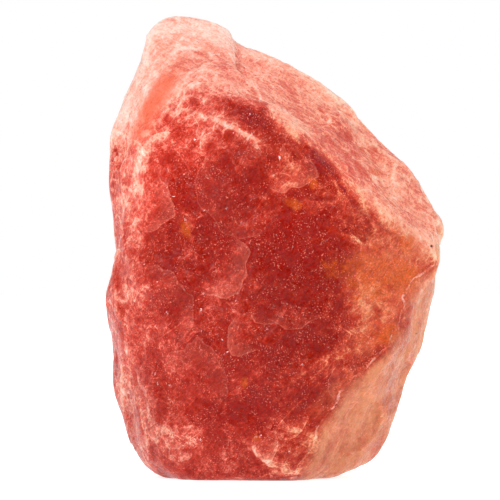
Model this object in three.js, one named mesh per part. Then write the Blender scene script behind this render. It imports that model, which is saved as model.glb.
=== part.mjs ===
// A rough, hand-sized piece of strawberry quartz: one broken and slightly worn crystal mass,
// standing on its flat foot.
// Millimetres, +Z up. The broad red face looks towards -Y, and +X is to the right of it.
// The stone is made as it formed: a block with worn edges, then the shell-shaped scars of the
// flakes that broke away.

import * as THREE from "three";
import { ConvexHull } from "three/addons/math/ConvexHull.js";
import { ImprovedNoise } from "three/addons/math/ImprovedNoise.js";
import { mergeVertices } from "three/addons/utils/BufferGeometryUtils.js";

// Driving dimensions.
const WIDTH = 51.3;
const DEPTH = 39;
const HEIGHT = 70;
const SKIN_SPLITS = 20; // how many parts each edge of the starting ball is split into
const WEAR_SHARE = 0.5; // how far a round of wear takes a point to the middle of its neighbours
const BLOCK_WEAR = 2; // rounds of wear before the flakes broke away
const SCAR_WEAR = 1; // rounds of wear since
const FOOT_BAND = 0.05; // points this close to the ground are the flat foot's, and stay on it
const SWELL_HEIGHT = 1.1; // broad swells on the faces
const SWELL_LENGTH = 11;
const LUMP_HEIGHT = 0.45; // smaller lumps between them
const LUMP_LENGTH = 4.5;
const LOBE_SHARE = 0.15; // how far a flake's outline swings in and out of an oval
const STEP_SHARE = 0.14; // the sloping step round a flake, as a share of half its length
const WELD = 1e-3; // points closer than this are one point
const FAR_OFF = 2 * HEIGHT; // clear of the stone on any side
const CENTRE = new THREE.Vector3(0, 0, HEIGHT * 0.47); // in the block, in sight of all its skin

// Corners of the unworn block, as [x, y, z].
const CROWN = [
  [-19.9, -1.0, 68.0],
  [-17.2, 1.5, 70.7],
  [-15.2, 3.5, 71.4],
  [-11.8, 2.5, 71.0],
  [-9.8, 1.0, 69.4],
  [-14.9, -4.6, 67.8],
];
const LEFT_SIDE = [
  [-21.9, 2.0, 63.2],
  [-23.3, 0.0, 58.5],
  [-24.3, 1.5, 53.8],
  [-25.3, -1.0, 49.0],
  [-25.7, 2.5, 43.0],
  [-26.2, -1.5, 28.0],
  [-25.1, 3.0, 20.5],
  [-24.3, -1.0, 13.3],
  [-23.1, 2.0, 7.8],
  [-21.4, -1.5, 3.6],
  [-18.8, 1.0, 1.2],
];
const LEFT_RIDGE = [
  [-15.8, -9.4, 62.8],
  [-17.0, -12.7, 54.0],
  [-21.0, -10.4, 50.0],
  [-22.8, -8.2, 43.0],
  [-22.3, -10.8, 29.0],
  [-23.0, -7.8, 13.0],
  [-20.0, -8.8, 3.0],
];
const MAIN_RIDGE = [
  [-13.3, -13.5, 57.6],
  [-4.6, -16.1, 56.4],
  [3.8, -17.7, 50.8],
  [10.8, -17.1, 43.4],
  [18.4, -14.0, 37.8],
  [25.1, -6.5, 33.5],
];
const ROOF_EDGE = [
  [0.6, 3.0, 63.6],
  [6.0, 3.5, 61.0],
  [12.0, 3.5, 56.6],
  [17.9, 3.0, 49.4],
  [22.8, 2.5, 43.0],
  [26.6, 0.0, 38.8],
];
const RED_FACE = [
  [-18.0, -14.4, 40.0],
  [-16.5, -15.4, 22.0],
  [-2.5, -20.0, 34.0],
  [-6.0, -19.7, 16.0],
  [6.0, -19.2, 22.0],
  [-13.0, -14.8, 6.0],
  [-2.0, -17.2, 4.0],
];
const BEVEL_INNER = [
  [21.6, -9.8, 27.0],
  [18.0, -13.0, 19.6],
  [11.6, -16.2, 14.2],
  [6.6, -17.1, 7.6],
  [4.4, -16.0, 2.6],
];
const RIGHT_SIDE = [
  [26.0, -2.0, 34.6],
  [23.8, 0.5, 27.5],
  [22.0, -1.0, 18.8],
  [18.0, 1.5, 9.4],
  [16.1, -0.5, 4.6],
  [14.6, -1.0, 1.8],
  [10.4, -8.0, 0.9],
];
const BACK = [
  [-14.5, 10.0, 66.0],
  [-4.0, 13.8, 58.0],
  [8.5, 15.2, 52.0],
  [18.4, 11.8, 41.4],
  [-21.0, 9.5, 54.0],
  [-22.4, 12.2, 38.0],
  [-21.4, 12.6, 18.0],
  [-16.8, 13.8, 4.0],
  [-9.5, 19.8, 45.0],
  [4.5, 20.3, 37.0],
  [-4.0, 19.7, 19.0],
  [9.0, 18.2, 22.0],
  [18.2, 10.4, 26.0],
  [15.4, 11.0, 10.0],
  [11.4, 8.5, 1.4],
  [3.0, 15.8, 4.0],
];
const FOOT = [
  [-14.2, -12.2, 0.0],
  [-3.0, -14.0, 0.0],
  [3.4, -13.4, 0.0],
  [5.8, -5.0, 0.0],
  [6.2, 5.5, 0.0],
  [2.6, 12.5, 0.0],
  [-9.5, 13.8, 0.0],
  [-16.2, 7.5, 0.0],
  [-17.4, -4.0, 0.0],
];

// Flakes that broke away, by the side they are seen from. Each is the middle of its scar, across
// and up from that side, how wide and how long it is, how deep the step at its far end is, and
// which way its floor sinks towards that step, in degrees up from the level.
const SIDES = [
  {
    from: [0, -1, 0],
    flakes: [
      // the red face, from the ridge down
      { at: [-0.6, 49.4], wide: 8, long: 20, deep: 1.6, sinks: -37 },
      { at: [8.4, 42.4], wide: 7, long: 15, deep: 1.3, sinks: -47 },
      { at: [1.8, 45.2], wide: 10, long: 11, deep: 0.9, sinks: -60 },
      { at: [-8.0, 41.5], wide: 16, long: 20, deep: 1.0, sinks: -75 },
      { at: [-12.4, 32.4], wide: 17, long: 21, deep: 1.1, sinks: -20 },
      { at: [-5.0, 22.6], wide: 9, long: 15, deep: 1.0, sinks: 60 },
      { at: [3.8, 34.6], wide: 16, long: 19, deep: 1.0, sinks: -125 },
      { at: [8.4, 26.6], wide: 14, long: 17, deep: 1.0, sinks: -20 },
      { at: [14.8, 34.0], wide: 12, long: 15, deep: 0.8, sinks: -40 },
      { at: [11.4, 21.6], wide: 9, long: 11, deep: 0.7, sinks: -45 },
      { at: [-11.5, 14.0], wide: 16, long: 21, deep: 1.0, sinks: 65 },
      { at: [0.8, 12.6], wide: 12, long: 24, deep: 1.0, sinks: 45 },
      { at: [-9.4, 3.4], wide: 8, long: 18, deep: 0.9, sinks: -12 },
      // its left margin
      { at: [-19.4, 22.6], wide: 12, long: 17, deep: 0.9, sinks: 95 },
      { at: [-19.2, 38.8], wide: 12, long: 14, deep: 1.0, sinks: -50 },
      { at: [-21.6, 45.6], wide: 7, long: 9, deep: 0.7, sinks: -75 },
      { at: [-23.0, 31.2], wide: 5, long: 8, deep: 0.7, sinks: -80 },
      { at: [-21.0, 8.2], wide: 10, long: 15, deep: 0.9, sinks: 110 },
      // the face left of the crown
      { at: [-16.4, 59.4], wide: 7, long: 18, deep: 1.0, sinks: 60 },
      { at: [-21.4, 55.8], wide: 9, long: 15, deep: 0.8, sinks: -110 },
      // the pale bevel, lower right
      { at: [20.4, 30.4], wide: 10, long: 12, deep: 0.9, sinks: 20 },
      { at: [20.6, 22.6], wide: 8, long: 15, deep: 0.8, sinks: 65 },
      { at: [17.2, 14.0], wide: 11, long: 16, deep: 0.9, sinks: 35 },
      { at: [10.4, 7.4], wide: 11, long: 16, deep: 1.0, sinks: 50 },
      // the roof above the ridge
      { at: [-2.6, 63.6], wide: 12, long: 11, deep: 2.6, sinks: 155 },
      { at: [-7.6, 60.0], wide: 8, long: 12, deep: 0.8, sinks: -30 },
      { at: [2.6, 57.6], wide: 11, long: 18, deep: 0.9, sinks: -35 },
      { at: [12.0, 54.0], wide: 5, long: 7, deep: 0.9, sinks: 60 },
      { at: [12.8, 48.6], wide: 10, long: 18, deep: 0.9, sinks: -40 },
      { at: [20.0, 40.8], wide: 9, long: 13, deep: 0.8, sinks: 140 },
    ],
  },
  {
    from: [0, 1, 0],
    flakes: [
      { at: [9.5, 55.0], wide: 15, long: 19, deep: 1.1, sinks: -60 },
      { at: [-3.5, 50.5], wide: 14, long: 18, deep: 1.1, sinks: -140 },
      { at: [-14.0, 43.0], wide: 11, long: 15, deep: 1.0, sinks: -30 },
      { at: [18.5, 46.0], wide: 9, long: 15, deep: 0.9, sinks: 100 },
      { at: [8.0, 38.0], wide: 16, long: 22, deep: 1.1, sinks: 20 },
      { at: [-6.5, 34.0], wide: 15, long: 18, deep: 1.2, sinks: -100 },
      { at: [-17.5, 31.0], wide: 10, long: 14, deep: 0.9, sinks: -80 },
      { at: [16.0, 27.0], wide: 12, long: 18, deep: 1.0, sinks: 80 },
      { at: [2.5, 21.0], wide: 14, long: 19, deep: 1.1, sinks: 45 },
      { at: [-11.0, 18.0], wide: 12, long: 18, deep: 1.0, sinks: -45 },
      { at: [14.0, 10.5], wide: 12, long: 15, deep: 1.0, sinks: 130 },
      { at: [-3.0, 7.5], wide: 11, long: 17, deep: 1.1, sinks: 0 },
    ],
  },
  {
    from: [-1, 0, 0],
    flakes: [
      { at: [-1.5, 60.0], wide: 9, long: 13, deep: 0.7, sinks: 70 },
      { at: [0.5, 37.0], wide: 14, long: 15, deep: 1.9, sinks: -100 },
      { at: [4.0, 20.0], wide: 11, long: 16, deep: 0.8, sinks: 40 },
      { at: [-8.5, 15.0], wide: 10, long: 14, deep: 0.9, sinks: -60 },
    ],
  },
  {
    from: [1, 0, 0],
    flakes: [
      { at: [5.5, 39.5], wide: 9, long: 13, deep: 0.9, sinks: -60 },
      { at: [-1.5, 28.0], wide: 10, long: 15, deep: 0.8, sinks: 110 },
      { at: [8.5, 24.0], wide: 10, long: 16, deep: 1.0, sinks: -100 },
      { at: [3.0, 11.5], wide: 11, long: 15, deep: 0.9, sinks: -20 },
    ],
  },
];

// A geometry with nothing but positions, and each point once.
function pointsOnly(geometry) {
  const bare = geometry.clone();
  for (const name of Object.keys(bare.attributes)) {
    if (name !== "position") bare.deleteAttribute(name);
  }
  return mergeVertices(bare, WELD);
}

// Every point of a geometry, moved by a function of the point and its number.
function reshape(geometry, move) {
  const place = geometry.attributes.position;
  const point = new THREE.Vector3();
  for (let i = 0; i < place.count; i += 1) {
    move(point.fromBufferAttribute(place, i), i);
    place.setXYZ(i, point.x, point.y, point.z);
  }
  return geometry;
}

// The block's skin: a ball of even triangles, each point pushed straight out until it meets a
// face between the corners.
function unwornBlock() {
  const front = [LEFT_RIDGE, MAIN_RIDGE, RED_FACE, BEVEL_INNER];
  const corners = [...front, CROWN, ROOF_EDGE, LEFT_SIDE, RIGHT_SIDE, BACK, FOOT].flat();
  const hull = new ConvexHull().setFromPoints(corners.map((corner) => new THREE.Vector3(...corner)));
  const skin = pointsOnly(new THREE.IcosahedronGeometry(1, SKIN_SPLITS - 1));
  skin.scale(WIDTH / 2, DEPTH / 2, HEIGHT / 2);
  return reshape(skin, (point) => {
    let reach = Infinity;
    for (const { normal, constant } of hull.faces) {
      const leaving = normal.dot(point);
      if (leaving > 0) reach = Math.min(reach, (constant - normal.dot(CENTRE)) / leaving);
    }
    point.multiplyScalar(reach).add(CENTRE);
  });
}

// Each point's neighbours, from the triangles that meet there.
function neighboursOf(geometry) {
  const around = Array.from({ length: geometry.attributes.position.count }, () => new Set());
  const corner = geometry.index.array;
  for (let i = 0; i < corner.length; i += 3) {
    for (let k = 0; k < 3; k += 1) {
      around[corner[i + k]].add(corner[i + ((k + 1) % 3)]);
      around[corner[i + k]].add(corner[i + ((k + 2) % 3)]);
    }
  }
  return around;
}

// Wear rounds the edges: each point moves towards the middle of its neighbours. The foot's points
// only slide along the ground.
function wear(skin, rounds) {
  const around = neighboursOf(skin);
  for (let round = 0; round < rounds; round += 1) {
    const before = skin.attributes.position.clone();
    const neighbour = new THREE.Vector3();
    reshape(skin, (point, i) => {
      const middle = new THREE.Vector3();
      for (const n of around[i]) middle.add(neighbour.fromBufferAttribute(before, n));
      middle.divideScalar(around[i].size);
      if (point.z < FOOT_BAND) middle.z = point.z;
      point.lerp(middle, WEAR_SHARE);
    });
  }
}

// Broad swells and smaller lumps raise and lower the faces.
function roughen(skin) {
  const noise = new ImprovedNoise();
  const wave = ({ x, y, z }, length) => noise.noise(x / length, y / length, z / length);
  skin.computeVertexNormals();
  const outward = new THREE.Vector3();
  reshape(skin, (point, i) => {
    if (point.z < FOOT_BAND) return;
    outward.fromBufferAttribute(skin.attributes.normal, i);
    const swell = SWELL_HEIGHT * wave(point, SWELL_LENGTH);
    const lump = LUMP_HEIGHT * wave(point, LUMP_LENGTH);
    point.addScaledVector(outward, swell + lump);
    point.z = Math.max(point.z, 0);
  });
}

// The level direction to the right of someone who looks at a patch that faces this way.
function levelAcross(facing) {
  return new THREE.Vector3(0, 0, 1).cross(facing).normalize();
}

// The way a patch of skin faces: the mean of its points' normals within a reach of its middle.
function facingAround(skin, middle, reach) {
  const { position, normal } = skin.attributes;
  const facing = new THREE.Vector3();
  const point = new THREE.Vector3();
  for (let i = 0; i < position.count; i += 1) {
    const near = point.fromBufferAttribute(position, i).distanceTo(middle) < reach;
    if (near) facing.add(point.fromBufferAttribute(normal, i));
  }
  return facing.normalize();
}

// Where a flake broke away: the middle of its scar, the way it faces, and the ways along and
// across its floor.
function flakePlace(skin, from, { at, wide, sinks }) {
  const towards = new THREE.Vector3(...from);
  const start = towards.clone().multiplyScalar(FAR_OFF);
  start.addScaledVector(levelAcross(towards), at[0]).setZ(at[1]);
  const ray = new THREE.Raycaster(start, towards.negate());
  const middle = ray.intersectObject(new THREE.Mesh(skin))[0].point;
  const facing = facingAround(skin, middle, wide / 2);
  const along = levelAcross(facing).applyAxisAngle(facing, THREE.MathUtils.degToRad(sinks));
  return { middle, facing, along, beside: facing.clone().cross(along) };
}

// How deep a flake's floor lies under a point of the skin: nothing at its near end, and `deep` at
// the step at its far end. Its outline is an oval with a few lobes.
function flakeDepth({ middle, facing, along, beside, wide, long, deep }, point) {
  const offset = point.clone().sub(middle);
  if (Math.abs(offset.dot(facing)) > wide / 2) return 0;
  const u = offset.dot(along) / (long / 2);
  const v = offset.dot(beside) / (wide / 2);
  const angle = Math.atan2(v, u);
  const lobes = LOBE_SHARE * (Math.sin(2 * angle + long) + Math.sin(3 * angle + wide));
  const inside = THREE.MathUtils.clamp((1 + lobes - Math.hypot(u, v)) / STEP_SHARE, 0, 1);
  return (deep * inside * Math.max(0, 1 + u)) / 2;
}

// The skin sinks to the deepest of the flakes that broke away at each point.
function breakFlakesAway(skin) {
  skin.computeVertexNormals();
  const scars = SIDES.flatMap(({ from, flakes }) =>
    flakes.map((flake) => ({ ...flake, ...flakePlace(skin, from, flake) })),
  );
  const outward = new THREE.Vector3();
  reshape(skin, (point, i) => {
    if (point.z < FOOT_BAND) return;
    outward.fromBufferAttribute(skin.attributes.normal, i);
    point.addScaledVector(outward, -Math.max(...scars.map((scar) => flakeDepth(scar, point))));
    point.z = Math.max(point.z, 0);
  });
}

// The stone at its stated size, with its origin under its middle, on the plane that it stands on.
function toSize(geometry) {
  geometry.computeBoundingBox();
  const size = geometry.boundingBox.getSize(new THREE.Vector3());
  const middle = geometry.boundingBox.getCenter(new THREE.Vector3());
  geometry.translate(-middle.x, -middle.y, 0);
  return geometry.scale(WIDTH / size.x, DEPTH / size.y, HEIGHT / size.z);
}

const skin = unwornBlock();
wear(skin, BLOCK_WEAR);
roughen(skin);
breakFlakesAway(skin);
wear(skin, SCAR_WEAR);

const material = new THREE.MeshStandardMaterial({ color: 0xb8433a, roughness: 0.4, metalness: 0 });
const stone = new THREE.Mesh(toSize(skin), material);
stone.name = "strawberry_quartz";
export default new THREE.Group().add(stone);
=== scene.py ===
"""A rough, hand-sized piece of strawberry quartz, on its flat foot on a pale studio floor."""

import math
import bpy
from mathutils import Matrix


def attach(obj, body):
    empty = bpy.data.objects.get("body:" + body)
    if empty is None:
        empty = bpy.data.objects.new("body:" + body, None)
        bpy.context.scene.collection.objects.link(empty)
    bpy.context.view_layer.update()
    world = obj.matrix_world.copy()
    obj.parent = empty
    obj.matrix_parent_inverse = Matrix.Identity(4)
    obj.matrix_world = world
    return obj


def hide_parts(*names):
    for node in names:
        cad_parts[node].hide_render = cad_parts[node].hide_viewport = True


bl_info = {
    "name": "Rough strawberry quartz",
    "version": (1, 0, 0),
    "blender": (4, 5, 0),
    "location": "3D View > Sidebar > Quartz",
    "description": "Makes a rough strawberry quartz stone from its solid, and a pale studio",
    "category": "Object",
}

import bpy
import numpy as np
from mathutils import Matrix, Vector, noise
from mathutils.bvhtree import BVHTree

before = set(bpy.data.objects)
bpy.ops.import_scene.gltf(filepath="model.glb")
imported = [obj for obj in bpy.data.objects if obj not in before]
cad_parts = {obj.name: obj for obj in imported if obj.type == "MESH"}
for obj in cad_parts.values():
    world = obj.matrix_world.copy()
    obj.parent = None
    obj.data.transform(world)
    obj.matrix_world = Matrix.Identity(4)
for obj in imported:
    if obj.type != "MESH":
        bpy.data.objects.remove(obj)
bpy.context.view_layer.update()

NODE = "strawberry_quartz"
MM = 0.001
WELD = 1e-6

# Flakes that broke away, by the side that they are seen from. Each row is the middle of its scar,
# across and up, how wide and how long it is, how deep the step at its far end is, which way its
# floor sinks towards that step in degrees, and how pale the veil behind the step is. Millimetres.
FLAKES = {
    (0, -1, 0): [
        # the red face, from the ridge down
        (-0.6, 49.4, 8, 20, 1.6, -37, 0),
        (8.4, 42.4, 7, 15, 1.3, -47, 0),
        (1.8, 45.2, 10, 11, 0.9, -60, 0.5),
        (-8, 41.5, 16, 20, 1, -75, 0.25),
        (-12.4, 32.4, 17, 21, 1.1, -20, 0.4),
        (-5, 22.6, 9, 15, 1, 60, 0.5),
        (3.8, 34.6, 16, 19, 1, -125, 0),
        (8.4, 26.6, 14, 17, 1, -20, 0.2),
        (14.8, 34, 12, 15, 0.8, -40, 0.2),
        (11.4, 21.6, 9, 11, 0.7, -45, 0.3),
        (-11.5, 14, 16, 21, 1, 65, 0.3),
        (0.8, 12.6, 12, 24, 1, 45, 0.2),
        (-9.4, 3.4, 8, 18, 0.9, -12, 0.2),
        # its left margin
        (-19.4, 22.6, 12, 17, 0.9, 95, 0.3),
        (-19.2, 38.8, 12, 14, 1, -50, 0.6),
        (-21.6, 45.6, 7, 9, 0.7, -75, 0.5),
        (-23, 31.2, 5, 8, 0.7, -80, 0.4),
        (-21, 8.2, 10, 15, 0.9, 110, 0.4),
        # the face left of the crown
        (-16.4, 59.4, 7, 18, 1, 60, 0.3),
        (-21.4, 55.8, 9, 15, 0.8, -110, 0.3),
        # the pale bevel, lower right
        (20.4, 30.4, 10, 12, 0.9, 20, 0.4),
        (20.6, 22.6, 8, 15, 0.8, 65, 0.5),
        (17.2, 14, 11, 16, 0.9, 35, 0.4),
        (10.4, 7.4, 11, 16, 1, 50, 0.4),
        # the roof above the ridge
        (-2.6, 63.6, 12, 11, 2.6, 155, 0.3),
        (-7.6, 60, 8, 12, 0.8, -30, 0.3),
        (2.6, 57.6, 11, 18, 0.9, -35, 0.3),
        (12, 54, 5, 7, 0.9, 60, 0.2),
        (12.8, 48.6, 10, 18, 0.9, -40, 0.3),
        (20, 40.8, 9, 13, 0.8, 140, 0.2),
    ],
    (0, 1, 0): [
        (9.5, 55, 15, 19, 1.1, -60, 0.3),
        (-3.5, 50.5, 14, 18, 1.1, -140, 0.3),
        (-14, 43, 11, 15, 1, -30, 0.2),
        (18.5, 46, 9, 15, 0.9, 100, 0.4),
        (8, 38, 16, 22, 1.1, 20, 0.2),
        (-6.5, 34, 15, 18, 1.2, -100, 0.3),
        (-17.5, 31, 10, 14, 0.9, -80, 0.4),
        (16, 27, 12, 18, 1, 80, 0.3),
        (2.5, 21, 14, 19, 1.1, 45, 0.2),
        (-11, 18, 12, 18, 1, -45, 0.3),
        (14, 10.5, 12, 15, 1, 130, 0.4),
        (-3, 7.5, 11, 17, 1.1, 0, 0.3),
    ],
    (-1, 0, 0): [
        (-1.5, 60, 9, 13, 0.7, 70, 0.3),
        (0.5, 37, 14, 15, 1.9, -100, 0.3),
        (4, 20, 11, 16, 0.8, 40, 0.3),
        (-8.5, 15, 10, 14, 0.9, -60, 0.3),
    ],
    (1, 0, 0): [
        (5.5, 39.5, 9, 13, 0.9, -60, 0.3),
        (-1.5, 28, 10, 15, 0.8, 110, 0.3),
        (8.5, 24, 10, 16, 1, -100, 0.3),
        (3, 11.5, 11, 15, 0.9, -20, 0.3),
    ],
}
LOBE_SHARE = 0.15  # how far a flake's outline swings in and out of an oval
OUTLINE_WOBBLE = 0.3  # how far its outline wanders besides
WOBBLE_LENGTH = 2.6 * MM
STEP_WIDTH = 0.45 * MM  # how wide the sloping step round a flake is
RIM_WIDTH = 0.3 * MM  # how wide the frosted line along a step is
SHARP_ROUNDS = 30  # how far round a point its ridge or hollow is measured, in rounds of smoothing
SHARP_START = 2.0 * MM  # how high above the foot the ridges are fully drawn out
FOOT_EDGE = 1.2 * MM  # how high above the foot the skin is fully broken
CHIP_WIDTHS = (1.6, 5.0)  # millimetres
CHIP_STRETCH = (1.1, 1.9)  # how long a chip is for its width
CHIP_DEPTHS = (0.4, 1.0)  # in depths of a full chip
CHIP_RIM = 0.25  # how frosted the line along a chip's step is
DEEPEST_STEP = 1.2  # millimetres
EDGE_ROUNDS = 12  # how far round a point its edge or hollow is marked, in rounds of smoothing
EDGE_RELIEF = (0.02 * MM, 0.11 * MM)  # how proud or hollow the skin is where it starts to be marked
MARK_REACH = 5.0  # how far from a border its distance is kept, in millimetres
CLOUD_DRIFT = 5.0  # how far clouds are bent off their ovals, in millimetres for a full swing
FRACTURE_DRIFT = 1.8
CRACK_DRIFT = 1.1
AIM = (-3.8 * MM, 34.5 * MM)  # what the camera looks at, across and up
# What nodes of these kinds are set to, unless told otherwise: numbers are multiplied, values are
# eased into a range, and patterns are turned and sized as things are.
USUAL = {
    "ShaderNodeMath": {"operation": "MULTIPLY"},
    "ShaderNodeMapRange": {"interpolation_type": "SMOOTHSTEP", "clamp": False},
    "ShaderNodeMapping": {"vector_type": "TEXTURE"},
}

# Paler and deeper clouds inside the quartz. Each row is its middle, its half sizes, how far it is
# turned about the Y axis in degrees, and how much paler (or, below nothing, redder) it is.
CLOUDS = [
    ((22, -9, 32.5), (5, 12, 4), 0, 0.25),
    ((-6.8, -4, 61.9), (4, 12, 3.5), 20, -0.14),
    ((1.5, -18, 22.5), (8, 10, 7), 30, -0.12),
    ((3.8, -18, 32.3), (15.5, 12, 13), 25, -0.24),
    ((4, -18, 36.5), (7, 9, 4.5), -20, -0.1),
    ((-3, -18, 13), (13.5, 12, 10), -35, -0.2),
    ((-8.5, -16, 42), (9, 9, 9), 0, -0.17),
    ((9.5, -16, 22.5), (7, 9, 5), -40, -0.1),
    ((-13.5, -14, 45), (6, 10, 12), 20, 0.06),
    ((1.9, -18, 46.9), (4.3, 9, 3.9), -30, 0.08),
    ((-21, -12, 41), (6, 14, 6.5), 0, 0.14),
    ((-9.5, -16, 29), (4.2, 9, 4.8), -35, 0.12),
    ((-4.2, -18, 22.5), (2.6, 9, 4.6), 40, 0.16),
    ((-20.5, -10, 5), (6.5, 16, 7.5), 20, 0.1),
    ((-20, 0, 61), (6, 22, 9), 0, -0.26),
    ((-19, -12, 47.5), (7, 12, 6.5), -30, 0.1),
    ((2.3, -15, 52.6), (5.5, 10, 3.2), 35, 0.4),
    ((-4.5, -16, 51.6), (6.5, 10, 2.2), 25, 0.26),
    ((-9.5, -8, 59.5), (5, 12, 4), 20, 0.2),
    ((-9, -15, 4), (8, 12, 5), 0, 0.08),
    ((14, -14, 35), (6, 12, 5.5), 20, 0.18),
    ((13.5, -14, 24.5), (5.5, 12, 5), 0, 0.08),
    ((14, -12, 40.5), (6, 12, 3), 38, 0.14),
    ((-10, -16, 37), (6, 10, 5), 0, -0.08),
    ((-4, -15, 4.5), (14, 12, 6), 0, 0.18),
    ((20, -10, 25.5), (4.5, 12, 4.5), 0, 0.14),
    ((18.5, -10, 17), (5, 12, 8), 20, -0.06),
    ((6, 6, 60.5), (18, 20, 3.2), 36, 0.4),
    ((-11.5, -12, 52.8), (11.5, 12, 7), 15, 0.36),
    ((9, -9, 50.5), (13, 14, 5.5), 40, -0.24),
    ((12, -6, 49.5), (7.5, 14, 5), 36, -0.18),
    ((8.2, -13, 47.2), (8, 14, 2), 48, -0.34),
    ((11.5, -16, 38), (4.5, 10, 6), -30, 0.1),
    ((4, -15, 48.6), (10.5, 8, 2.4), 42, -0.18),
    ((14, -14, 3), (12, 14, 5.5), -30, 0.12),
    ((-15.5, -12, 31), (8, 12, 19), 0, -0.16),
    ((16.5, -14, 31), (8, 14, 11), 20, 0.28),
    ((3, -18, 7), (12, 12, 5), -10, 0.14),
    ((11.4, -14, 24), (6.5, 12, 8.5), 20, 0.22),
    ((-10, 0, 69), (14, 24, 7.5), 0, 0.6),
]
# Painted light and shade: patches painted brighter where light would come through the stone, and
# darker in the heart and near the foot: middle, half sizes, turn, and how much brighter or darker.
PAINTED_LIGHT = [
    ((-17, -12, 47.5), (12, 14, 14), 30, 0.24),
    ((6, -16, 42), (11, 14, 13), 30, 0.16),
    ((-18, -14, 30), (8, 14, 14), 0, 0.04),
    ((-22, -8, 7), (12, 16, 13), 0, -0.18),
    ((2, -14, 1), (24, 18, 8), 0, -0.12),
]
# The main ridge and its run down to the left, seen from the front: x and z in millimetres.
CREST = [
    (-26, 46.5), (-22.5, 49.7), (-19, 53.2), (-13.2, 57), (-5.3, 56.4),
    (-1.2, 54.9), (1.8, 51.8), (5.6, 49.4), (7.6, 47.4), (10.6, 43.4),
    (12.4, 41.5), (16.4, 37.8), (20.5, 34.8), (21.6, 33), (26, 31.6),
]
# The border of the pale bevel at the lower right, from the foot up: z and x in millimetres.
BORDER = [
    (0, 2.4), (2.7, 3.8), (7.2, 6.1), (11.5, 8.8), (15, 10.9), (18, 14.1),
    (21.5, 17.9), (24.7, 19.9), (27.7, 19.6), (30.1, 21.2), (31.6, 24.6), (34, 30),
]
# Painted highlights, thin spots where a fresh break catches the light: middle, half sizes,
# turn, strength.
PAINTED_HIGHLIGHTS = [
    ((-11.1, -12, 57), (2.1, 6, 1), 15, 0.9),
    ((-11.4, -13, 54.6), (1.9, 6, 0.8), 30, 0.6),
    ((-19.6, -10, 52), (1.5, 6, 0.8), -30, 0.8),
    ((-10, -17, 29), (1.7, 6, 1), 10, 0.6),
    ((0.6, -19, 25.2), (1.2, 6, 1.1), 0, 0.6),
    ((-6, -16, 52.4), (6.5, 8, 0.6), 26, 0.7),
    ((6, -18, 40.5), (2.2, 6, 1.2), -20, 0.5),
    ((-21, -10, 47.2), (0.9, 6, 1.8), 10, 0.3),
    ((3.5, -18, 15.9), (1.9, 6, 0.5), -30, 0.6),
    ((12.6, -15, 31), (1, 6, 0.8), 0, 0.6),
    ((11.7, -15, 25.1), (1.3, 6, 0.9), 0, 0.5),
    ((-16.2, -10, 55.2), (5, 6, 0.5), -38, 0.4),
    ((-23.8, -8, 15.5), (0.7, 8, 6), 6, 0.5),
    ((-22.4, -8, 20), (0.5, 8, 4), -8, 0.4),
]
# Healed cracks: thin, nearly straight pale sheets that cut the surface in a line.
CRACKS = [
    ((4.1, -18, 12.4), (11.8, 10, 0.16), -46, 0.6),
    ((10.6, -16, 22.5), (1.9, 10, 0.16), 32, 0.7),
    ((13.1, -15, 22.7), (1.5, 10, 0.16), -42, 0.7),
    ((12.5, -14, 12), (9, 10, 0.14), -50, 0.5),
    ((-15.6, -14, 22.7), (4.6, 10, 0.16), -36, 0.5),
    ((-2, -18, 30), (6, 10, 0.13), 50, 0.4),
    ((-12.5, -14, 46), (6.5, 10, 0.14), 55, 0.4),
    ((16, -10, 9.5), (6.5, 10, 0.16), -52, 0.5),
]
# Curved cracks that end in a bright edge: middle, half sizes, the way to the edge in degrees, how
# pale they are there, and how bright the edge is.
LOBES = [
    ((1.5, -18, 47.1), (4.2, 12, 4.2), 45, 0.14, 0.16),
    ((-9.4, -16, 32.7), (5.6, 14, 5.2), 28, 0.18, 0.16),
    ((-4.1, -18, 22.4), (3.4, 12, 3.4), 150, 0.2, 0.14),
    ((1.2, -18, 26.2), (3.4, 12, 5), 90, 0.08, 0.16),
    ((-4.3, -17, 44.1), (7.8, 14, 7.6), 150, 0.05, 0.14),
    ((-19, -12, 41.4), (4, 14, 5), 15, 0.16, 0.16),
    ((-21.6, -12, 44.4), (1.5, 9, 3.2), 0, 0.12, 0.18),
    ((-13, -15, 13), (8, 14, 6), -60, 0.08, 0.1),
    ((12, -15, 16.5), (6, 14, 4.5), 120, 0.1, 0.16),
    ((-17, -12, 26), (4.5, 14, 6.5), -20, 0.08, 0.12),
]
# Rust stains of iron in the quartz: middle, half sizes, turn, strength.
STAINS = [
    ((19.6, -12, 35.2), (1.8, 6, 2.4), 10, 0.8),
    ((19.4, -12, 30.6), (4.2, 8, 4), 0, 0.95),
    ((14.5, -15, 30.5), (8, 10, 6), 10, 0.65),
    ((9.5, -16, 31.5), (5, 8, 2.4), 10, 0.55),
    ((2.9, -17, 41.2), (2.2, 6, 1.3), 20, 0.75),
    ((5.3, -16, 44.6), (1.3, 6, 2), -20, 0.7),
    ((-13.5, -15, 37.5), (1.3, 6, 2.2), -30, 0.75),
    ((16.8, -13, 21.8), (3.6, 8, 2.4), -30, 0.75),
    ((15, -5, 46.2), (1.4, 8, 1), 0, 0.75),
    ((-4.8, -18, 14.8), (1, 6, 1.2), 0, 0.6),
    ((-3, -18, 6.5), (1.4, 6, 1), 0, 0.6),
]
# The clear strip left of the crown, with a painted glow where light comes through.
PAINTED_GLOW_STRIPS = [
    ((-17.8, -8, 57.2), (2.5, 9, 7.5), 33, 0.9),
    ((-20, -8, 53), (2.8, 9, 3.5), 40, 0.6),
]
# Parts that iron washes evenly with orange.
ORANGES = [
    ((17.5, -12, 31.5), (8.5, 14, 9), 10, 1.1),
    ((14.5, -12, 22), (3.5, 12, 6.5), 40, 0.9),
    ((9, -14, 13.5), (2.2, 12, 6.5), 45, 0.7),
]
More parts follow.
